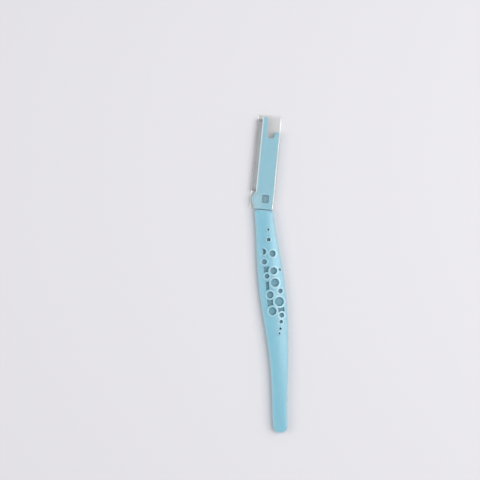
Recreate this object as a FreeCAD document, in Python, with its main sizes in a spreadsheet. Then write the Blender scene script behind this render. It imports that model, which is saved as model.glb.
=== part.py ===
"""Eyebrow razor: a moulded handle with a bubble grip, a clamped blade with its guard, and a clear cap.

Millimetres. The razor lies on its flat back: +Y runs from the tail to the neck, +Z points up.
The origin is on the flat back, on the handle's middle line. The head is drawn in its own axes,
across (u) and along (v) from the left end of the neck, and turned to the right by head_angle.
"""
import FreeCAD, Part
import math
import os

import Sketcher

SIZES = {
    # Handle
    "handle_length": 112.2,
    "handle_thick": 5.2,
    "grip_width": 13.2,
    "tail_width": 7.4,
    "neck_width": 9.9,
    "crown_drop": 1.0,
    "edge_round": 1.3,
    "rest_from_tail": 30.0,
    # Bubble grip
    "bubble_diameter": 4.4,
    "bubble_depth": 2.0,
    "rim_width": 1.0,
    "rim_height": 0.3,
    "rim_round": 0.18,
    "gap_round": 0.3,
    # Head: the carrier on the handle and the cover plate share this outline
    "head_angle": 10.0,
    "head_length": 45.8,
    "plate_width": 9.1,
    "heel_length": 8.5,
    "heel_crest": 5.2,
    "heel_crest_round": 3.0,
    "heel_round": 1.0,
    "left_prong_width": 3.3,
    "left_prong_slant": 0.6,
    "right_prong_width": 2.8,
    "right_prong_drop": 6.8,
    "right_prong_slant": 0.7,
    "right_prong_round": 1.2,
    "notch_depth": 3.2,
    "carrier_lift": 1.1,
    "carrier_thick": 1.8,
    "carrier_root": 4.0,
    "carrier_inset": 2.0,
    "cover_thick": 1.5,
    "cover_gap": 0.2,
    "cover_round": 0.3,
    "lip_width": 1.1,
    "lip_drop": 0.6,
    # Catch and its window
    "window_width": 3.25,
    "window_length": 3.9,
    "window_from_left": 3.5,
    "window_from_neck": 3.4,
    "ledge_width": 0.3,
    "ledge_thick": 0.25,
    "catch_side_gap": 0.1,
    "catch_end_gap": 0.5,
    "catch_thick": 0.2,
    # Blade
    "blade_shown": 1.7,
    "blade_held": 2.1,
    "blade_thick": 0.3,
    "blade_from_heel": 0.5,
    "blade_from_tip": 1.1,
    "bevel_width": 1.0,
    "edge_thick": 0.05,
    "stud_diameter": 1.0,
    "stud_from_end": 6.5,
    "stud_top": 0.4,
    "fit_clearance": 0.05,
    # Guard
    "guard_thick": 0.15,
    "guard_reach": 0.25,
    "guard_root": 0.5,
    "guard_pitch": 0.8,
    "guard_slot": 0.45,
    "guard_lug": 1.3,
    "guard_band": 0.2,
    "fold_round": 0.25,
    # Cap
    "cap_wall": 0.5,
    "cap_clearance": 0.25,
    "cap_end_wall": 0.8,
    "cap_end_room": 0.4,
    "cap_mouth_gap": 0.3,
    "cap_round": 0.9,
    # How far a cut reaches past a face that it leaves by
    "overrun": 1.0,
}

# Control points of the handle's two sides, tail to neck: share of handle_length, shares of grip_width
SIDE_SHARES = (
    (0.225, -0.19, 0.416),
    (0.417, -0.233, 0.565),
    (0.609, -0.423, 0.65),
    (0.801, -0.406, 0.50),
    (0.929, -0.329, 0.361),
)
# How far along handle_length the tail stays straight
TAIL_STRAIGHT_SHARE = 0.097
# How far the neck's left end lies left of the handle's axis, of neck_width
NECK_LEFT_SHARE = 0.475
# Round of the neck's corners, of edge_round, which has to go round them
NECK_ROUND_SHARE = 1.15
# Place of the crown's top and of the rest point right of the axis, of grip_width
CROWN_SHARE = 0.09
REST_SHARE = 0.106
# Round of the notch's inner corners, of the notch's width
NOTCH_ROUND_SHARE = 0.39

# Bubbles: across (of grip_width), along (of handle_length), bore (of bubble_diameter), rim (of rim_width)
BUBBLE_SHARES = (
    (0.201, 0.796, 0.69, 1.0),
    (-0.129, 0.7625, 0.57, 0.9),
    (0.192, 0.7196, 0.76, 1.0),
    (-0.073, 0.698, 0.52, 0.95),
    (0.206, 0.667, 0.91, 1.0),
    (0.386, 0.6286, 0.50, 0.85),
    (-0.015, 0.615, 0.76, 1.0),
    (0.313, 0.582, 1.0, 1.0),
    (0.032, 0.5424, 0.875, 1.0),
    (0.363, 0.5214, 0.52, 0.9),
    (0.321, 0.493, 0.375, 0.7),
    (0.275, 0.4625, 0.26, 0.55),
    (0.223, 0.442, 0.2, 0.45),
    (0.091, 0.859, 0.4, 0.7),
    (0.110, 0.9036, 0.23, 0.5),
)
# The bubble cut off by the grip's straight left border keeps only its right half
HALF_BUBBLE_SHARES = (-0.152, 0.8075, 0.68, 0.9)
# Hollows between the rims, before the rims fill their corners: left, right (of grip_width), low, high
GAP_SHARES = (
    (-0.174, 0.038, 0.712, 0.740),
    (-0.144, -0.023, 0.6355, 0.674),
    (-0.136, 0.083, 0.564, 0.595),
    (0.22, 0.485, 0.5365, 0.556),
    (0.395, 0.46, 0.718, 0.728),
)


# How near an edge has to be to a place to be picked there
TOUCH = 1e-4


class Term:
    """A size with both its value now and the expression that keeps it bound to the sheet."""

    def __init__(self, text, value):
        self.text = text
        self.value = value

    def __add__(self, other):
        other = as_term(other)
        return Term(f"({self.text} + {other.text})", self.value + other.value)

    def __sub__(self, other):
        other = as_term(other)
        return Term(f"({self.text} - {other.text})", self.value - other.value)

    def __mul__(self, other):
        other = as_term(other)
        return Term(f"({self.text} * {other.text})", self.value * other.value)

    def __truediv__(self, other):
        other = as_term(other)
        return Term(f"({self.text} / {other.text})", self.value / other.value)

    def __neg__(self):
        return Term(f"(0 - {self.text})", -self.value)


def as_term(number):
    return number if isinstance(number, Term) else Term(repr(number), number)


def cosine(angle):
    return Term(f"cos({angle.text} * 1 deg)", math.cos(math.radians(angle.value)))


def sine(angle):
    return Term(f"sin({angle.text} * 1 deg)", math.sin(math.radians(angle.value)))


class Sheet:
    """The spreadsheet of driving sizes; each alias reads back as a Term."""

    def __init__(self, doc, sizes):
        self.cells = doc.addObject("Spreadsheet::Sheet", "sizes")
        self.sizes = sizes
        for row, (name, value) in enumerate(sizes.items(), start=1):
            self.cells.set(f"A{row}", name)
            self.cells.set(f"B{row}", str(value))
            self.cells.setAlias(f"B{row}", name)

    def __getattr__(self, name):
        return Term(f"sizes.{name}", self.sizes[name])


doc = FreeCAD.newDocument("eyebrow_razor")
size = Sheet(doc, SIZES)
doc.recompute()
ZERO = as_term(0)


def bind(item, **terms):
    """Bind properties to terms; a double underscore stands for the dot in a property's path."""
    for path, term in terms.items():
        item.setExpression(path.replace("__", "."), as_term(term).text)


def new_body(label):
    body = doc.addObject("PartDesign::Body", label)
    body.Label = label
    return body


def plane(body, role):
    return next(item for item in body.Origin.OriginFeatures if item.Role == role)


def new_sketch(body, name, role="XY_Plane", lift=ZERO):
    """A sketch on one of the body's own planes, lifted along the plane's normal."""
    sketch = body.newObject("Sketcher::SketchObject", name)
    sketch.AttachmentSupport = [(plane(body, role), "")]
    sketch.MapMode = "FlatFace"
    bind(sketch, AttachmentOffset__Base__z=lift)
    return sketch


def fix_length(sketch, kind, geometry, point, term):
    index = sketch.addConstraint(Sketcher.Constraint(kind, geometry, point, term.value))
    sketch.setExpression(f"Constraints[{index}]", term.text)


def fix_point(sketch, geometry, point, place):
    """Hold a point of a sketch at a place across and along."""
    across, along = (as_term(value) for value in place)
    if across.text == "0":
        sketch.addConstraint(Sketcher.Constraint("PointOnObject", geometry, point, -2))
    else:
        fix_length(sketch, "DistanceX", geometry, point, across)
    if along.text == "0":
        sketch.addConstraint(Sketcher.Constraint("PointOnObject", geometry, point, -1))
    else:
        fix_length(sketch, "DistanceY", geometry, point, along)


def vector(place):
    return FreeCAD.Vector(as_term(place[0]).value, as_term(place[1]).value, 0)


def draw_polygon(sketch, places):
    """A closed outline of straight lines whose corners are all held by the sheet."""
    first = sketch.GeometryCount
    count = len(places)
    for index, place in enumerate(places):
        line = Part.LineSegment(vector(place), vector(places[(index + 1) % count]))
        sketch.addGeometry(line)
    for index, place in enumerate(places):
        after = first + (index + 1) % count
        sketch.addConstraint(Sketcher.Constraint("Coincident", first + index, 2, after, 1))
        fix_point(sketch, first + index, 1, place)


def draw_box(sketch, left, low, right, high):
    draw_polygon(sketch, ((left, low), (right, low), (right, high), (left, high)))


def draw_circle(sketch, centre, diameter):
    circle = Part.Circle(vector(centre), FreeCAD.Vector(0, 0, 1), diameter.value / 2)
    index = sketch.addGeometry(circle)
    number = sketch.addConstraint(Sketcher.Constraint("Diameter", index, diameter.value))
    sketch.setExpression(f"Constraints[{number}]", diameter.text)
    fix_point(sketch, index, 3, centre)


def draw_spline(sketch, places):
    """A cubic curve whose control points are all held by the sheet."""
    spans = len(places) - 3
    curve = Part.BSplineCurve()
    knots = [span / spans for span in range(spans + 1)]
    counts = [4] + [1] * (spans - 1) + [4]
    curve.buildFromPolesMultsKnots([vector(place) for place in places], counts, knots, False, 3)
    index = sketch.addGeometry(curve)
    sketch.exposeInternalGeometry(index)
    for number, place in enumerate(places, start=index + 1):
        fix_point(sketch, number, 3, place)
    return index


def settle(feature):
    """Recompute, and stop at once where a feature failed."""
    doc.recompute()
    if feature.Shape.isNull() or "Invalid" in feature.State or not feature.Shape.isValid():
        raise ValueError(f"{feature.Label} failed: {feature.State} {feature.getStatusString()}")
    return feature


def add_pad(body, sketch, name, length, backwards=False):
    pad = body.newObject("PartDesign::Pad", name)
    pad.Profile = sketch
    pad.Reversed = backwards
    bind(pad, Length=length)
    return settle(pad)


def add_pocket(body, sketch, name, length=None, backwards=False):
    """Cut to a length, or right through both ways, and check that something came off."""
    before = body.Shape.Volume
    pocket = body.newObject("PartDesign::Pocket", name)
    pocket.Profile = sketch
    if length is None:
        pocket.Type = "ThroughAll"
        pocket.Midplane = True
    else:
        pocket.Reversed = backwards
        bind(pocket, Length=length)
    if settle(pocket).Shape.Volume >= before:
        raise ValueError(f"{name} cut nothing")
    return pocket


def edge_names(shape, wanted):
    return [f"Edge{number}" for number, edge in enumerate(shape.Edges, start=1) if wanted(edge)]


def is_upright(edge):
    box = edge.BoundBox
    return box.ZLength > box.XLength + box.YLength


def add_fillet(body, name, radius, wanted):
    """Round the body's edges that pass a test."""
    doc.recompute()
    base = body.Tip
    fillet = body.newObject("PartDesign::Fillet", name)
    fillet.Base = (base, edge_names(base.Shape, wanted))
    bind(fillet, Radius=radius)
    return settle(fillet)


def stands_at(*places):
    """A test for upright edges at given places of a body's own axes."""
    spots = [vector(place) for place in places]

    def test(edge):
        if not is_upright(edge):
            return False
        centre = edge.BoundBox.Center
        flat = FreeCAD.Vector(centre.x, centre.y, 0)
        return any(flat.isEqual(spot, TOUCH) for spot in spots)

    return test


# Places that several pieces share
grip = size.grip_width
full_length = size.handle_length
neck = (-size.neck_width * NECK_LEFT_SHARE, full_length)
rest = (grip * REST_SHARE, size.rest_from_tail)
carrier_top = size.carrier_lift + size.carrier_thick
cover_top = carrier_top + size.cover_thick
edge_reach = size.blade_shown + size.guard_reach + size.guard_thick
blade_low = size.heel_length + size.blade_from_heel
blade_high = size.head_length - size.blade_from_tip
blade_length = blade_high - blade_low
right_prong_top = size.head_length - size.right_prong_drop
notch_floor = right_prong_top - size.notch_depth
notch_right = size.plate_width - size.right_prong_width
notch_round = (notch_right - size.left_prong_width) * NOTCH_ROUND_SHARE
heel_crest = (-edge_reach, size.heel_crest)
stud_hole = size.stud_diameter + size.fit_clearance * 2
stud_across = (size.guard_root + size.blade_held) / 2
stud_places = (
    (stud_across, blade_low + size.stud_from_end),
    (stud_across, blade_high - size.stud_from_end),
)
window_centre = (
    size.window_from_left + size.window_width / 2,
    size.window_from_neck + size.window_length / 2,
)


def place_body(body, turned):
    """Stand a body in the shared frame: handle axes, or head axes turned about the neck."""
    if turned:
        bind(body, Placement__Base__x=neck[0] - rest[0], Placement__Base__y=neck[1] - rest[1])
        body.Placement.Rotation = FreeCAD.Rotation(FreeCAD.Vector(0, 0, -1), size.head_angle.value)
        bind(body, Placement__Rotation__Angle=size.head_angle)
    else:
        bind(body, Placement__Base__x=-rest[0], Placement__Base__y=-rest[1])


def turn_to_head(sketch):
    """Turn a sketch of the handle into the head's axes."""
    sketch.AttachmentOffset = FreeCAD.Placement(
        FreeCAD.Vector(0, 0, 0), FreeCAD.Rotation(FreeCAD.Vector(0, 0, -1), size.head_angle.value)
    )
    bind(sketch, AttachmentOffset__Base__x=neck[0], AttachmentOffset__Base__y=neck[1])
    bind(sketch, AttachmentOffset__Rotation__Angle=size.head_angle)


def head_outline(*ending):
    """Corners of the head from the heel round the tip to the right prong, then the ending given."""
    return (
        (ZERO, size.cover_gap),
        heel_crest,
        (ZERO, size.heel_length),
        (ZERO, size.head_length),
        (size.left_prong_width - size.left_prong_slant, size.head_length),
        (size.left_prong_width, notch_floor),
        (notch_right, notch_floor),
        (notch_right + size.right_prong_slant, right_prong_top),
        (size.plate_width, right_prong_top),
        *ending,
    )


def round_head(body, name, place):
    """Round the head's upright corners, whose places a function turns into the body's own axes."""
    notch_corners = (place(size.left_prong_width, notch_floor), place(notch_right, notch_floor))
    add_fillet(body, f"{name}_crest_round", size.heel_crest_round, stands_at(place(*heel_crest)))
    add_fillet(body, f"{name}_heel_round", size.heel_round, stands_at(place(ZERO, size.heel_length)))
    add_fillet(body, f"{name}_notch_round", notch_round, stands_at(*notch_corners))
    prong_corner = place(size.plate_width, right_prong_top)
    add_fillet(body, f"{name}_prong_round", size.right_prong_round, stands_at(prong_corner))


def on_handle(across, along):
    """A place of the head's axes, given in the handle's axes."""
    turn_cos = cosine(size.head_angle)
    turn_sin = sine(size.head_angle)
    return (
        neck[0] + across * turn_cos + along * turn_sin,
        neck[1] - across * turn_sin + along * turn_cos,
    )


def on_head(across, along):
    return (across, along)


# Handle: blank with its crowned front
def draw_handle_outline(sketch):
    tail_radius = size.tail_width / 2
    curves = []
    for column, side, end in ((1, -1, neck), (2, 1, on_handle(size.neck_width, ZERO))):
        places = [(tail_radius * side, tail_radius), (tail_radius * side, full_length * TAIL_STRAIGHT_SHARE)]
        places += [(grip * row[column], full_length * row[0]) for row in SIDE_SHARES]
        curves.append(draw_spline(sketch, places + [end]))
    left, right = curves
    circle = Part.Circle(vector((ZERO, tail_radius)), FreeCAD.Vector(0, 0, 1), tail_radius.value)
    tail = sketch.addGeometry(Part.ArcOfCircle(circle, math.pi, 2 * math.pi))
    sketch.addConstraint(Sketcher.Constraint("Coincident", tail, 1, left, 1))
    sketch.addConstraint(Sketcher.Constraint("Coincident", tail, 2, right, 1))
    fix_length(sketch, "DistanceY", tail, 3, tail_radius)
    right_end = vector(on_handle(size.neck_width, ZERO))
    line = sketch.addGeometry(Part.LineSegment(vector(neck), right_end))
    sketch.addConstraint(Sketcher.Constraint("Coincident", line, 1, left, 2))
    sketch.addConstraint(Sketcher.Constraint("Coincident", line, 2, right, 2))


crown_radius = (grip * grip / 4 + size.crown_drop * size.crown_drop) / (size.crown_drop * 2)
crown_axis = (grip * CROWN_SHARE, size.handle_thick - crown_radius)


def cut_crown(body, name, lift):
    """Take off what stands above the crown's arc, which is lifted for the rims."""
    sketch = new_sketch(body, f"{name}_profile", "XZ_Plane")
    radius = crown_radius + lift
    left = crown_axis[0] - grip
    right = crown_axis[0] + grip
    top = size.handle_thick + lift + size.overrun
    swing = math.asin(grip.value / radius.value)
    circle = Part.Circle(vector(crown_axis), FreeCAD.Vector(0, 0, 1), radius.value)
    arc = sketch.addGeometry(Part.ArcOfCircle(circle, math.pi / 2 - swing, math.pi / 2 + swing))
    fix_point(sketch, arc, 3, crown_axis)
    number = sketch.addConstraint(Sketcher.Constraint("Radius", arc, radius.value))
    sketch.setExpression(f"Constraints[{number}]", radius.text)
    fix_length(sketch, "DistanceX", arc, 1, right)
    fix_length(sketch, "DistanceX", arc, 2, left)
    arc_right = sketch.Geometry[arc].StartPoint
    arc_left = sketch.Geometry[arc].EndPoint
    up = sketch.addGeometry(Part.LineSegment(arc_left, vector((left, top))))
    over = sketch.addGeometry(Part.LineSegment(vector((left, top)), vector((right, top))))
    down = sketch.addGeometry(Part.LineSegment(vector((right, top)), arc_right))
    for joined in ((arc, 2, up, 1), (up, 2, over, 1), (over, 2, down, 1), (down, 2, arc, 1)):
        sketch.addConstraint(Sketcher.Constraint("Coincident", *joined))
    fix_point(sketch, over, 1, (left, top))
    fix_point(sketch, over, 2, (right, top))
    add_pocket(body, sketch, name)


handle = new_body("handle")
outline = new_sketch(handle, "handle_outline")
draw_handle_outline(outline)
add_pad(handle, outline, "handle_blank", size.handle_thick)
neck_corners = stands_at(neck, on_handle(size.neck_width, ZERO))
add_fillet(handle, "neck_rounded", size.edge_round * NECK_ROUND_SHARE, neck_corners)
cut_crown(handle, "crown_cut", ZERO)
add_fillet(handle, "edges_rounded", size.edge_round, lambda edge: not is_upright(edge))

# Handle: bubble grip
recess_floor = size.handle_thick - size.bubble_depth
recess_height = size.bubble_depth + size.rim_height
gaps = new_sketch(handle, "gap_cells", lift=recess_floor)
gap_corners = []
for left_share, right_share, low_share, high_share in GAP_SHARES:
    left, right = grip * left_share, grip * right_share
    low, high = full_length * low_share, full_length * high_share
    draw_box(gaps, left, low, right, high)
    gap_corners += [(left, low), (right, low), (right, high), (left, high)]
add_pocket(handle, gaps, "gaps_cut", recess_height + size.overrun, backwards=True)
add_fillet(handle, "gaps_rounded", size.gap_round, stands_at(*gap_corners))


def draw_half_disc(sketch, centre, diameter):
    """The right half of a disc, closed by an upright line through its centre."""
    circle = Part.Circle(vector(centre), FreeCAD.Vector(0, 0, 1), diameter.value / 2)
    arc = sketch.addGeometry(Part.ArcOfCircle(circle, -math.pi / 2, math.pi / 2))
    ends = (sketch.Geometry[arc].EndPoint, sketch.Geometry[arc].StartPoint)
    line = sketch.addGeometry(Part.LineSegment(*ends))
    sketch.addConstraint(Sketcher.Constraint("Coincident", arc, 2, line, 1))
    sketch.addConstraint(Sketcher.Constraint("Coincident", line, 2, arc, 1))
    sketch.addConstraint(Sketcher.Constraint("PointOnObject", arc, 3, line))
    sketch.addConstraint(Sketcher.Constraint("Vertical", line))
    fix_point(sketch, arc, 3, centre)
    number = sketch.addConstraint(Sketcher.Constraint("Diameter", arc, diameter.value))
    sketch.setExpression(f"Constraints[{number}]", diameter.text)


class Bubble:
    """A round recess of the grip, with its place, bore and outer rim."""

    def __init__(self, shares, draw):
        across, along, bore, rim = shares
        self.centre = (grip * across, full_length * along)
        self.bore = size.bubble_diameter * bore
        self.outer = self.bore + size.rim_width * rim * 2
        self.draw = draw

    def meets(self, other):
        apart = vector(self.centre).distanceToPoint(vector(other.centre))
        return apart * 2 < self.outer.value + other.outer.value + TOUCH


def in_layers(bubbles):
    """Share bubbles out so that no rims of one layer meet, because a sketch takes no crossing outlines."""
    layers = []
    for bubble in bubbles:
        free = (layer for layer in layers if not any(bubble.meets(other) for other in layer))
        layer = next(free, None)
        if layer is None:
            layer = []
            layers.append(layer)
        layer.append(bubble)
    return layers


bubbles = [Bubble(shares, draw_circle) for shares in BUBBLE_SHARES]
bubbles.append(Bubble(HALF_BUBBLE_SHARES, draw_half_disc))
for number, layer in enumerate(in_layers(bubbles)):
    rims = new_sketch(handle, f"rim_outlines_{number}", lift=recess_floor)
    for bubble in layer:
        bubble.draw(rims, bubble.centre, bubble.outer)
    add_pad(handle, rims, f"rims_{number}", recess_height)
cut_crown(handle, "rims_crowned", size.rim_height)
bores = new_sketch(handle, "bubble_outlines", lift=recess_floor)
for bubble in bubbles:
    bubble.draw(bores, bubble.centre, bubble.bore)
add_pocket(handle, bores, "bubbles_cut", recess_height + size.overrun, backwards=True)


def tops_rim(edge):
    """True for a full ring of an edge that lies on the rims' crown, as round a bubble's mouth."""
    reach = crown_radius.value + size.rim_height.value
    ends = (edge.FirstParameter, edge.LastParameter)
    points = [edge.valueAt(value) for value in (*ends, sum(ends) / 2)]
    across = [math.hypot(point.x - crown_axis[0].value, point.z - crown_axis[1].value) for point in points]
    return edge.isClosed() and all(abs(value - reach) < TOUCH for value in across)


add_fillet(handle, "rims_rounded", size.rim_round, tops_rim)

# Handle: head carrier with the blade's seat
root_right = size.plate_width - size.carrier_inset
carrier = new_sketch(handle, "carrier_outline", lift=size.carrier_lift)
turn_to_head(carrier)
draw_polygon(
    carrier,
    head_outline(
        (size.plate_width, size.cover_gap),
        (root_right, size.cover_gap),
        (root_right, -size.carrier_root),
        (size.carrier_inset, -size.carrier_root),
        (size.carrier_inset, size.cover_gap),
    ),
)
add_pad(handle, carrier, "carrier_blank", size.carrier_thick)
round_head(handle, "carrier", on_handle)


def cut_blade_room(body, name, reach, depth, upwards=False, turned=False):
    """A flat rebate along the blade, open to the left, from the level where carrier and cover meet."""
    sketch = new_sketch(body, f"{name}_outline", lift=carrier_top)
    if turned:
        turn_to_head(sketch)
    low = blade_low - size.fit_clearance
    high = blade_high + size.fit_clearance
    draw_box(sketch, -size.overrun, low, reach + size.fit_clearance, high)
    add_pocket(body, sketch, name, depth, backwards=upwards)


cut_blade_room(handle, "blade_seat", size.blade_held, size.blade_thick, turned=True)
guard_depth = size.blade_thick + size.guard_thick
cut_blade_room(handle, "guard_seat", size.guard_root, guard_depth, turned=True)

stud_foot = size.carrier_lift + size.carrier_thick / 2
studs = new_sketch(handle, "stud_outlines", lift=stud_foot)
turn_to_head(studs)
for place in stud_places:
    draw_circle(studs, place, size.stud_diameter)
add_pad(handle, studs, "studs", carrier_top + size.stud_top - stud_foot)


def add_catch_block(name, width, foot, height):
    """A block of the catch, in the middle of the cover's window."""
    sketch = new_sketch(handle, f"{name}_outline", lift=foot)
    turn_to_head(sketch)
    half_width = width / 2 - size.catch_side_gap
    half_length = size.window_length / 2 - size.catch_end_gap
    draw_box(
        sketch,
        window_centre[0] - half_width,
        window_centre[1] - half_length,
        window_centre[0] + half_width,
        window_centre[1] + half_length,
    )
    add_pad(handle, sketch, name, height)


ledge_gap = size.window_width - size.ledge_width * 2
barb_foot = carrier_top + size.ledge_thick + size.fit_clearance
add_catch_block("catch_post", ledge_gap, carrier_top, barb_foot - carrier_top)
add_catch_block("catch_barb", size.window_width, barb_foot, size.catch_thick)
place_body(handle, turned=False)

# Cover plate
cover = new_body("cover_plate")
cover_outline = new_sketch(cover, "cover_outline", lift=carrier_top)
draw_polygon(cover_outline, head_outline((size.plate_width, size.cover_gap)))
add_pad(cover, cover_outline, "cover_blank", size.cover_thick)
round_head(cover, "cover", on_head)


def lies_at_top(edge):
    box = edge.BoundBox
    return box.ZLength < TOUCH and abs(box.ZMax - cover_top.value) < TOUCH


def borders_blade(edge):
    """True for the top edge beside the blade, from which the lip runs on round the heel."""
    box = edge.BoundBox
    return lies_at_top(edge) and abs(box.XMin) + abs(box.XMax) < TOUCH


def add_lip():
    """Slope the cover's edge down to the blade, along it and round its lower end."""
    base = cover.Tip
    lip = cover.newObject("PartDesign::Chamfer", "lip")
    lip.Base = (base, edge_names(base.Shape, borders_blade))
    lip.ChamferType = "Two distances"
    bind(lip, Size=size.lip_drop, Size2=size.lip_width)
    return settle(lip)


lip = add_lip()


def stands_square(edge):
    """True for a top edge between the front face and an upright side, so not for the lip's edges."""
    if not lies_at_top(edge):
        return False
    middle = edge.valueAt((edge.FirstParameter + edge.LastParameter) / 2)
    for face in lip.Shape.ancestorsOfType(edge, Part.Face):
        steepness = abs(face.normalAt(*face.Surface.parameter(middle)).z)
        if TOUCH < steepness < 1 - TOUCH:
            return False
    return True


add_fillet(cover, "cover_rounded", size.cover_round, stands_square)


def cut_window(name, width, depth=None):
    """An opening of the window's length, from the cover's front face."""
    sketch = new_sketch(cover, f"{name}_outline", lift=cover_top)
    draw_box(
        sketch,
        window_centre[0] - width / 2,
        window_centre[1] - size.window_length / 2,
        window_centre[0] + width / 2,
        window_centre[1] + size.window_length / 2,
    )
    add_pocket(cover, sketch, name, depth)


cut_window("window", size.window_width, size.cover_thick - size.ledge_thick)
cut_window("window_throat", ledge_gap)
cut_blade_room(cover, "guard_rebate", size.guard_root, size.guard_thick, upwards=True)
sockets = new_sketch(cover, "socket_outlines", lift=carrier_top)
for place in stud_places:
    draw_circle(sockets, place, stud_hole)
add_pocket(cover, sockets, "stud_sockets", size.stud_top + size.fit_clearance, backwards=True)

# Blade
blade = new_body("blade")
blade_floor = carrier_top - size.blade_thick
blade_middle = carrier_top - size.blade_thick / 2
blade_section = new_sketch(blade, "blade_section", "XZ_Plane", lift=-blade_low)
bevel_end = size.bevel_width - size.blade_shown
draw_polygon(
    blade_section,
    (
        (size.blade_held, blade_floor),
        (size.blade_held, carrier_top),
        (bevel_end, carrier_top),
        (-size.blade_shown, blade_middle + size.edge_thick / 2),
        (-size.blade_shown, blade_middle - size.edge_thick / 2),
        (bevel_end, blade_floor),
    ),
)
add_pad(blade, blade_section, "blade_strip", blade_length, backwards=True)
stud_holes = new_sketch(blade, "stud_hole_outlines", lift=carrier_top)
for place in stud_places:
    draw_circle(stud_holes, place, stud_hole)
add_pocket(blade, stud_holes, "stud_holes")

# Safety guard: a strip folded over the edge, slotted into teeth
guard = new_body("safety_guard")
guard_section = new_sketch(guard, "guard_section", "XZ_Plane", lift=-blade_low)
fold_outside = -edge_reach
fold_inside = fold_outside + size.guard_thick
draw_polygon(
    guard_section,
    (
        (size.guard_root, carrier_top),
        (size.guard_root, carrier_top + size.guard_thick),
        (fold_outside, carrier_top + size.guard_thick),
        (fold_outside, blade_floor - size.guard_thick),
        (size.guard_root, blade_floor - size.guard_thick),
        (size.guard_root, blade_floor),
        (fold_inside, blade_floor),
        (fold_inside, carrier_top),
    ),
)
add_pad(guard, guard_section, "guard_strip", blade_length, backwards=True)


def lies_on_fold(edge):
    box = edge.BoundBox
    return box.YLength > size.guard_lug.value and abs(box.XMax - fold_outside.value) < TOUCH


add_fillet(guard, "fold_rounded", size.fold_round, lies_on_fold)
slot = new_sketch(guard, "slot_outline")
slot_low = blade_low + size.guard_lug
draw_box(slot, fold_outside - size.overrun, slot_low, -size.guard_band, slot_low + size.guard_slot)
first_slot = add_pocket(guard, slot, "first_slot")
slot_run = blade_length - size.guard_lug * 2 - size.guard_slot
slots = guard.newObject("PartDesign::LinearPattern", "slots")
slots.Originals = [first_slot]
slots.Direction = (slot, ["V_Axis"])
bind(slots, Length=slot_run)
slots.setExpression("Occurrences", f"round({(slot_run / size.guard_pitch).text}) + 1")
guard.Tip = slots
doc.recompute()

# Blade cap: a clear sleeve, closed at the tip
cap = new_body("blade_cap")
cap_room = size.cap_clearance + size.cap_wall
cap_left = -edge_reach - cap_room
cap_right = size.plate_width + cap_room
cap_bottom = size.carrier_lift - cap_room
cap_top = cover_top + cap_room
cap_length = size.head_length + size.cap_end_room + size.cap_end_wall - size.cap_mouth_gap
cap_section = new_sketch(cap, "cap_section", "XZ_Plane", lift=-size.cap_mouth_gap)
draw_box(cap_section, cap_left, cap_bottom, cap_right, cap_top)
add_pad(cap, cap_section, "cap_blank", cap_length, backwards=True)


def clear_of_mouth(edge):
    return edge.BoundBox.YMax > size.cap_mouth_gap.value + TOUCH


add_fillet(cap, "cap_rounded", size.cap_round, clear_of_mouth)
wall = size.cap_wall
hollow = new_sketch(cap, "hollow_section", "XZ_Plane", lift=-size.cap_mouth_gap)
draw_box(hollow, cap_left + wall, cap_bottom + wall, cap_right - wall, cap_top - wall)
add_pocket(cap, hollow, "hollow_cut", cap_length - size.cap_end_wall)

for body in (cover, blade, guard, cap):
    place_body(body, turned=True)
doc.recompute()

# Check every object, then write one file per piece
for item in doc.Objects:
    if "Invalid" in item.State or "Error" in item.State:
        raise ValueError(f"{item.Label} failed: {item.State}")
pieces = (handle, cover, blade, guard, cap)
for piece in pieces:
    if piece.Shape.isNull() or not piece.Shape.isValid() or len(piece.Shape.Solids) != 1:
        raise ValueError(f"{piece.Label} is not one valid solid")
os.makedirs("parts", exist_ok=True)
for piece in pieces:
    piece.Shape.exportStep(f"parts/{piece.Label}.step")
    print(piece.Label, round(piece.Shape.Volume, 2), piece.Shape.BoundBox)
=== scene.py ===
# %% [markdown]
# # Eyebrow razor
# The razor arrives as five finished solids: the handle, the cover plate, the blade, its guard
# and the clear cap. Their shapes are right as they stand, so this lesson gives each of them the finish
# of the real material.

# %% Load the solids
import math

import bpy
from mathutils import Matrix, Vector

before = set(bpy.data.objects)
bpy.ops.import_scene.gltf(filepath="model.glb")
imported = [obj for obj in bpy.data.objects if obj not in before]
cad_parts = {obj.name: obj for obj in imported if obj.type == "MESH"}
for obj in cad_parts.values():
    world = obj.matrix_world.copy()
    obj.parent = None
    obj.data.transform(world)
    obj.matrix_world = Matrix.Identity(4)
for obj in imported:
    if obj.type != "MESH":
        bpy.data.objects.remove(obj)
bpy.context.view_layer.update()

print("Solids:", sorted(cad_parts))

# %% [markdown]
# ## Writing shader maths
# A finish is a small sum: a mask here, a colour there, a little noise over both. Wiring each Math node
# by hand hides that sum, so one class wraps an output and lets Python's signs add the nodes.
# Every other kind of node comes from its one method, which sets the node up before it wires it.

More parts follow.
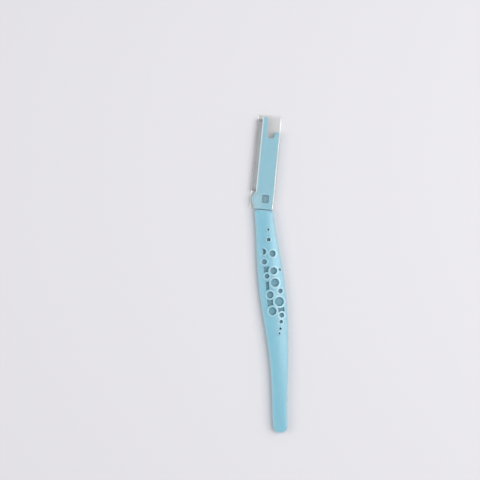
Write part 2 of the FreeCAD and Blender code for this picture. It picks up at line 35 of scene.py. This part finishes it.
# %% Wires
class Wire:
    """An output in a node tree. Signs between wires and numbers add Math nodes."""

    def __init__(self, tree, socket=None):
        self.tree = tree
        self.socket = socket

    def node(self, kind, settings=None, inputs=None, output=0):
        """Add a node: its settings first, then values or wires for its inputs."""
        made = self.tree.nodes.new(f"ShaderNode{kind}")
        for name, value in (settings or {}).items():
            setattr(made, name, value)
        for name, value in (inputs or {}).items():
            if isinstance(value, Wire):
                self.tree.links.new(value.socket, made.inputs[name])
            else:
                made.inputs[name].default_value = value
        return Wire(self.tree, made.outputs[output])

    def math(self, operation, *values):
        return self.node("Math", {"operation": operation}, dict(enumerate(values)))

    def __add__(self, other):
        return self.math("ADD", self, other)

    def __radd__(self, other):
        return self.math("ADD", other, self)

    def __sub__(self, other):
        return self.math("SUBTRACT", self, other)

    def __rsub__(self, other):
        return self.math("SUBTRACT", other, self)

    def __mul__(self, other):
        return self.math("MULTIPLY", self, other)

    def __rmul__(self, other):
        return self.math("MULTIPLY", other, self)

    def __pow__(self, other):
        return self.math("POWER", self, other)

    def __abs__(self):
        return self.math("ABSOLUTE", self)


# %% [markdown]
# A finish starts with one main shader. What is the same all over the surface is set straight on its sockets,
# and only what changes from place to place is wired to it.
# Colours are written as they look on a screen and turned into light here.

# %% Finishes
def paint(red, green, blue):
    """A screen colour, 0 to 255, as light."""
    light = []
    for value in (red / 255, green / 255, blue / 255):
        light.append(value / 12.92 if value <= 0.04045 else ((value + 0.055) / 1.055) ** 2.4)
    return (*light, 1)


class Finish:
    """A material with one main shader, and a start for its wires."""

    def __init__(self, name, **even):
        self.material = bpy.data.materials.new(name)
        self.material.use_nodes = True
        tree = self.material.node_tree
        self.shader = tree.nodes["Principled BSDF"]
        self.output = tree.nodes["Material Output"]
        self.start = Wire(tree)
        for socket, value in even.items():
            self.shader.inputs[socket.replace("_", " ")].default_value = value

    def feed(self, **wires):
        """Wire what changes over the surface to the main shader."""
        for socket, wire in wires.items():
            self.start.tree.links.new(wire.socket, self.shader.inputs[socket.replace("_", " ")])

    def mix_with(self, other, share):
        """Set another shader beside the main one, which shows by the given share."""
        main = Wire(self.start.tree, self.shader.outputs["BSDF"])
        surface = self.start.node("MixShader", None, {0: share, 1: other, 2: main})
        self.start.tree.links.new(surface.socket, self.output.inputs["Surface"])

    def put_on(self, node):
        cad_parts[node].material_slots[0].material = self.material
        print(node, "wears", self.material.name, "with", len(self.start.tree.nodes), "nodes")


# %% [markdown]
# ## Where a pattern sits
# Patterns are easiest to judge in millimetres, so the coordinates are scaled up once.
# The head leans ten degrees to the right of the grip, and what follows the blade is laid out
# in the head's own axes: x across from the plate's left edge, y along from the neck.

# %% Coordinates
MM = 0.001
NECK = (-6.10 * MM, 82.2 * MM, 0)
HEAD_TURN = math.radians(-10)


def millimetres(start, turned=False):
    """Object coordinates in millimetres, in the razor's axes or the head's."""
    place = start.node("TexCoord", output="Object")
    moves = {"Vector": place, "Scale": (MM, MM, MM)}
    if turned:
        moves["Location"] = NECK
        moves["Rotation"] = (0, 0, HEAD_TURN)
    return start.node("Mapping", {"vector_type": "TEXTURE"}, moves)


def axis(place, letter):
    """One of the three numbers of a place."""
    return place.node("SeparateXYZ", None, {"Vector": place}, letter)


# %% [markdown]
# A few more helpers are shared by the finishes: noise that can be drawn out along one axis, a soft step,
# a change from one colour to another, and a relief. The relief takes its height in millimetres too.

# %% Patterns
def noise(place, scale, stretched=(1, 1, 1)):
    """Soft noise about one half, with so many lumps to the millimetre on each axis."""
    drawn = place.node("VectorMath", {"operation": "MULTIPLY"}, {0: place, 1: stretched})
    return place.node("TexNoise", None, {"Vector": drawn, "Scale": scale, "Detail": 3})


def ease(value, low, high):
    """0 below low, 1 above high and smooth between."""
    settings = {"interpolation_type": "SMOOTHSTEP"}
    return value.node("MapRange", settings, {"Value": value, "From Min": low, "From Max": high})


def reach(first, second):
    """How far away a point is whose two offsets are given."""
    return (first ** 2 + second ** 2) ** 0.5


def blend(share, first, second):
    """One colour going over to another."""
    return share.node("Mix", {"data_type": "RGBA"}, {0: share, 6: first, 7: second}, 2)


def bump(height):
    """A relief with its height in millimetres."""
    return height.node("Bump", None, {"Height": height, "Distance": MM, "Strength": 1})


# %% [markdown]
# ## The camera
# The razor was photographed from straight above, lying on its flat back, with its axis leaning
# 4.5 degrees to the left. A long lens from far away keeps the outline nearly free of perspective.

# %% Camera
VIEW_WIDTH = 0.240
VIEW_CENTRE = (-0.0143, 0.0673)
VIEW_LEAN = math.radians(-4.5)
LENS = 100
SENSOR = 36
NEAREST = 0.01

for item in bpy.context.selected_objects:
    item.select_set(False)
height = VIEW_WIDTH * LENS / SENSOR
bpy.ops.object.camera_add(location=(*VIEW_CENTRE, height), rotation=(0, 0, VIEW_LEAN))
camera = bpy.context.object
camera.data.lens = LENS
camera.data.sensor_width = SENSOR
camera.data.clip_start = NEAREST
bpy.context.scene.camera = camera
print("Camera", round(height, 3), "m above the floor")

# %% [markdown]
# ## The floor
# The razor lies on pale matt paper. Near the razor the paper is lit as anything else, so it keeps the shadow.
# Further off it goes over to an even glow of its own colour, and the sky behind it has that colour too.
# That hides the horizon from low views, as the curve of a studio's paper roll does.

# %% Floor
PALE = paint(228, 227, 230)
FLOOR_SIZE = 6.0
FLOOR_DROP = 0.02 * MM
GLOW_FROM = 0.20
GLOW_TO = 0.85


def looking(start):
    """1 for a ray that looks at the background, also by way of metal or glass, 0 for others."""
    rays = ["Is Camera Ray", "Is Glossy Ray", "Is Transmission Ray"]
    return ease(sum(start.node("LightPath", output=ray) for ray in rays), 0, 1)


bpy.ops.mesh.primitive_plane_add(size=FLOOR_SIZE, location=(0, 0, -FLOOR_DROP))
floor = bpy.context.object
floor.name = "floor"
paper = Finish("floor_paper", Roughness=0.9, Base_Color=PALE)
spot = paper.start.node("TexCoord", output="Object")
glow = ease(reach(axis(spot, "X"), axis(spot, "Y")), GLOW_FROM, GLOW_TO) * looking(paper.start)
paper.mix_with(paper.start.node("Emission", None, {"Color": PALE}), 1 - glow)
floor.data.materials.append(paper.material)
print("Floor", FLOOR_SIZE, "m wide")

# %% [markdown]
# ## Light
# Two soft boxes light the razor from high on its sides, the right one stronger, and a small one from above
# draws the rims. An even sky fills the rest, so that a colour renders about as it is written.

# %% Lamps and sky
AIM = (0.0, 0.05, 0.0)
SKY_FILL = 0.58


def add_soft_box(name, place, size, power):
    """A square lamp that faces the razor."""
    bpy.ops.object.light_add(type="AREA", location=place)
    lamp = bpy.context.object
    lamp.name = name
    lamp.data.size = size
    lamp.data.energy = power
    away = lamp.location - Vector(AIM)
    lamp.rotation_euler = away.to_track_quat("Z", "Y").to_euler()


add_soft_box("right_box", place=(0.55, 0.10, 0.75), size=0.6, power=3.54)
add_soft_box("left_box", place=(-0.60, 0.15, 0.75), size=0.6, power=1.95)
add_soft_box("top_box", place=(0.26, 0.05, 0.95), size=0.25, power=1.5)

sky = bpy.data.worlds.new("studio_sky")
bpy.context.scene.world = sky
sky.use_nodes = True
strength = SKY_FILL + looking(Wire(sky.node_tree)) * (1 - SKY_FILL)
sky_light = sky.node_tree.nodes["Background"]
sky_light.inputs["Color"].default_value = PALE
sky.node_tree.links.new(strength.socket, sky_light.inputs["Strength"])
bpy.context.scene.view_settings.view_transform = "Standard"

# %% [markdown]
# ## The handle's plastic
# The handle is moulded in a pale aqua plastic with a satin skin. Its rims and rounded edges are painted
# paler than the thick grip: a painted highlight for the light that the plastic lets in there. The floors
# of the recesses are painted darker: painted shade. The rims could be painted one by one, but they are
# all that stands outside the grip's crown, which is an arc across the handle, so one sum finds them,
# and the recesses' floors below it. The edges are found by their slope.

# %% Handle: rims and edges
CROWN_CENTRE = -0.21
CROWN_DEPTH = -17.08
CROWN_RADIUS = 22.28
RIM_RISE = (0.04, 0.22)
RECESS_DROP = (-1.4, -0.6)
RECESS_LEVEL = (2.4, 2.8)
EDGE_STEEPEST = (0.05, 0.45)
EDGE_FLATTEST = (0.60, 0.98)

aqua = Finish(
    "aqua_satin",
    Subsurface_Weight=0.6,
    Subsurface_Radius=(0.5, 0.9, 1.0),
    Subsurface_Scale=3.0 * MM,
    Coat_Weight=0.5,
    Coat_Roughness=0.22,
)
place = millimetres(aqua.start)
across, along, up = (axis(place, letter) for letter in "XYZ")
above_crown = reach(across - CROWN_CENTRE, up - CROWN_DEPTH) - CROWN_RADIUS
rim = ease(above_crown, *RIM_RISE)
recess_shade = (1 - ease(above_crown, *RECESS_DROP)) * ease(up, *RECESS_LEVEL)
slope = axis(aqua.start.node("TexCoord", output="Normal"), "Z")
edge = ease(slope, *EDGE_STEEPEST) * (1 - ease(slope, *EDGE_FLATTEST))
print("Handle's crown is an arc of", CROWN_RADIUS, "mm")

# %% [markdown]
# A moulding keeps small marks of its mould: a fine line round its side where the two halves met,
# and on the back the rings of the pins that pushed it out. The back wasn't seen, so where they are
# is a guess. A few hundredths of a millimetre of relief are enough.

# %% Handle: marks of the mould
PARTING_HEIGHT = 2.0
PINS = ((-1.3, -22.0), (0.5, 14.0), (-1.1, 72.0))
PIN_RADIUS = 1.5
PARTING_FADE = (0.02, 0.09)
RING_FADE = (0.03, 0.14)
BACK_FADE = (0.02, 0.10)

parting_line = 1 - ease(abs(up - PARTING_HEIGHT), *PARTING_FADE)
rings = 0
for pin_across, pin_along in PINS:
    from_ring = abs(reach(across - pin_across, along - pin_along) - PIN_RADIUS)
    rings = rings + (1 - ease(from_ring, *RING_FADE))
pin_rings = rings * (1 - ease(up, *BACK_FADE))
print("Pin marks on the back:", len(PINS))

# %% [markdown]
# The catch that shows in the cover's window belongs to the handle. The real window looks darker than
# its depth makes it here, so the catch gets a darker and duller tone. Whether that is tone or only shade
# can't be told from above. It lies square to the head, so it is found in the head's axes.

# %% Handle: catch
CATCH_CENTRE = (5.125, 5.35)
CATCH_HALF = (1.65, 1.95)
CATCH_FOOT = 2.85
FOOT_FADE = 0.03
SIDE_FADE = 0.05

head_place = millimetres(aqua.start, turned=True)
catch = ease(up, CATCH_FOOT, CATCH_FOOT + FOOT_FADE)
for letter, centre, half in zip("XY", CATCH_CENTRE, CATCH_HALF):
    catch = catch * (1 - ease(abs(axis(head_place, letter) - centre), half, half + SIDE_FADE))
print("Catch is", CATCH_HALF[0] * 2, "mm wide")

# %% [markdown]
# The colour drifts a little along the handle, as the melt flowed. The satin skin is fine noise
# over a slow waviness, and the tops of the rims are smoother, since what stands proud is rubbed first.

# %% Handle finish
SKIN_DEPTH = 0.010
WAVE_DEPTH = 0.022
PARTING_RISE = 0.04
RING_DEPTH = 0.05
# How strongly the painted shade on the recess floors and the painted highlights on edges and rims are laid
# on.
RECESS_SHADE_TONE = 0.65
EDGE_HIGHLIGHT_TONE = 0.65
RIM_HIGHLIGHT_TONE = 0.5
CATCH_TONE = 0.8
SATIN_ROUGHNESS = 0.36
FLOW_ROUGHNESS = 0.12
RIM_SMOOTHNESS = 0.08
CATCH_ROUGHNESS = 0.2

flow = noise(place, scale=0.45, stretched=(1, 0.15, 1))
skin = noise(place, scale=8) * SKIN_DEPTH + noise(place, scale=1.4) * WAVE_DEPTH
thick_colour = blend(flow, paint(127, 188, 206), paint(137, 196, 213))
# The recesses' floors get painted shade: a darker colour where shade falls in them.
recess_shaded_colour = blend(recess_shade * RECESS_SHADE_TONE, thick_colour, paint(104, 158, 172))
# The rounded edges, found by their slope, get a painted highlight.
edge_lit_colour = blend(edge * EDGE_HIGHLIGHT_TONE, recess_shaded_colour, paint(204, 216, 220))
# The rims get a painted highlight as well.
rim_lit_colour = blend(rim * RIM_HIGHLIGHT_TONE * (1 - catch), edge_lit_colour, paint(172, 212, 223))
aqua.feed(
    Base_Color=blend(catch * CATCH_TONE, rim_lit_colour, paint(78, 147, 168)),
    Roughness=SATIN_ROUGHNESS + flow * FLOW_ROUGHNESS - rim * RIM_SMOOTHNESS + catch * CATCH_ROUGHNESS,
    Normal=bump(skin + parting_line * PARTING_RISE - pin_rings * RING_DEPTH),
)
aqua.put_on("handle")

# %% [markdown]
# ## The cover plate's plastic
# The cover is the same plastic from a polished mould, so it is a little glossier.
# Its sloping lip beside the blade and the thin heel at its foot are painted paler, as painted highlights: the
# lip where its slope catches the light, the heel for the light it lets through.
# Both are found by where they are on the plate, and the lip fades out on the heel.

# %% Cover finish
LIP_WIDTH = 1.1
LIP_FOOT = 3.95
LIP_TOP = 4.38
LIP_FADE = 1.3
LIP_LOSS = 0.8
HEEL_LENGTH = 8.5
HEEL_FADE = (0.8, 1.1)
HEEL_SIDE = (-0.5, 6.0)
COVER_SKIN_DEPTH = 0.006
COVER_WAVE_DEPTH = 0.014
# How strong the heel's painted highlight is.
HEEL_HIGHLIGHT_TONE = 0.5
COVER_ROUGHNESS = 0.28
COVER_FLOW_ROUGHNESS = 0.10

cover_aqua = Finish(
    "aqua_polished",
    Subsurface_Weight=0.5,
    Subsurface_Radius=(0.5, 0.9, 1.0),
    Subsurface_Scale=0.8 * MM,
)
place = millimetres(cover_aqua.start, turned=True)
across, along, up = (axis(place, letter) for letter in "XYZ")
lip = (1 - ease(up, LIP_FOOT, LIP_TOP)) * (1 - ease(across, LIP_WIDTH, LIP_WIDTH * LIP_FADE))
heel_ends = [HEEL_LENGTH * share for share in HEEL_FADE]
heel = (1 - ease(along, *heel_ends)) * (1 - ease(across, *HEEL_SIDE))
flow = noise(place, scale=0.5, stretched=(1, 0.2, 1))
skin = noise(place, scale=11) * COVER_SKIN_DEPTH + noise(place, scale=1.1) * COVER_WAVE_DEPTH
plate_colour = blend(flow, paint(124, 187, 205), paint(134, 195, 212))
# The heel's paler colour is a painted highlight.
heel_lit_colour = blend(heel * HEEL_HIGHLIGHT_TONE, plate_colour, paint(170, 207, 216))
# The lip's paler colour is a painted highlight on its slope.
pale = lip * (1 - heel * LIP_LOSS)
cover_aqua.feed(
    Base_Color=blend(pale, heel_lit_colour, paint(228, 238, 240)),
    Roughness=COVER_ROUGHNESS + flow * COVER_FLOW_ROUGHNESS,
    Normal=bump(skin),
)
cover_aqua.put_on("cover_plate")

# %% [markdown]
# ## The blade's steel
# A blade is rolled flat and then ground on both sides of its edge. Rolling leaves faint lines along
# the strip, and grinding leaves finer lines square to the edge. Both are noise drawn out along one axis.

# %% Blade finish
BEVEL_END = -0.7
BEVEL_FADE = 0.03
LINE_DEPTH = 0.003
ROLLED_ROUGHNESS = 0.30
LINE_ROUGHNESS = 0.15
GROUND_SMOOTHNESS = 0.08

steel = Finish("ground_steel", Metallic=1.0)
place = millimetres(steel.start, turned=True)
ground = 1 - ease(axis(place, "X"), BEVEL_END - BEVEL_FADE, BEVEL_END + BEVEL_FADE)
rolled_lines = noise(place, scale=2, stretched=(6, 0.1, 1))
ground_lines = noise(place, scale=2, stretched=(0.2, 9, 1))
lines = rolled_lines * (1 - ground) + ground_lines * ground
steel.feed(
    Base_Color=blend(lines, paint(121, 124, 130), paint(161, 164, 169)),
    Roughness=ROLLED_ROUGHNESS + lines * LINE_ROUGHNESS - ground * GROUND_SMOOTHNESS,
    Normal=bump(lines * LINE_DEPTH),
)
steel.put_on("blade")

# %% [markdown]
# ## The guard's steel
# The guard is stamped from thin strip and folded over the edge. It is duller than the blade
# and a little darker, most of all at its two end lugs, which show as darker spots.

# %% Guard finish
LOW_LUG_END = 10.2
HIGH_LUG_START = 43.4
LUG_FADE = 0.1
GRAIN_DEPTH = 0.002
LUG_TONE = 0.7
STAMPED_ROUGHNESS = 0.34
GRAIN_ROUGHNESS = 0.16

stamped = Finish("stamped_steel", Metallic=1.0)
place = millimetres(stamped.start, turned=True)
along = axis(place, "Y")
low_lug = 1 - ease(along, LOW_LUG_END - LUG_FADE, LOW_LUG_END)
lugs = low_lug + ease(along, HIGH_LUG_START, HIGH_LUG_START + LUG_FADE)
grain = noise(place, scale=2.5, stretched=(4, 0.4, 4))
strip_colour = blend(grain, paint(118, 123, 128), paint(152, 157, 162))
stamped.feed(
    Base_Color=blend(lugs * LUG_TONE, strip_colour, paint(88, 91, 93)),
    Roughness=STAMPED_ROUGHNESS + grain * GRAIN_ROUGHNESS,
    Normal=bump(grain * GRAIN_DEPTH),
)
stamped.put_on("safety_guard")

# %% [markdown]
# ## The clear cap
# The cap is a thin sleeve of clear plastic. Glass that bends light would suit a thick block, but on walls
# of half a millimetre it only draws dark lines, so the cap is a clear film that mirrors a little
# face on, and more where it is seen at a slant. Its edges then draw a white line beside the head.
# Rays from the lamps pass straight through, so the head isn't left in the dark.

# %% Cap finish
FACE_ON = 0.095
AT_A_SLANT = 0.90
SLANT_POWER = 5
FILM_TINT = (0.996, 0.997, 0.997, 1)
FILM_ROUGHNESS = 0.02
HAZE_ROUGHNESS = 0.08

clear = Finish("clear_cap", Base_Color=paint(235, 235, 230), Metallic=1.0)
place = millimetres(clear.start, turned=True)
haze = noise(place, scale=0.8, stretched=(1, 0.25, 1))
clear.feed(Roughness=FILM_ROUGHNESS + haze * HAZE_ROUGHNESS)
slant = clear.start.node("LayerWeight", None, {"Blend": 0.5}, "Facing")
lamp_ray = clear.start.node("LightPath", output="Is Shadow Ray")
film = clear.start.node("BsdfTransparent", None, {"Color": FILM_TINT})
clear.mix_with(film, (FACE_ON + slant ** SLANT_POWER * AT_A_SLANT) * (1 - lamp_ray))
clear.put_on("blade_cap")
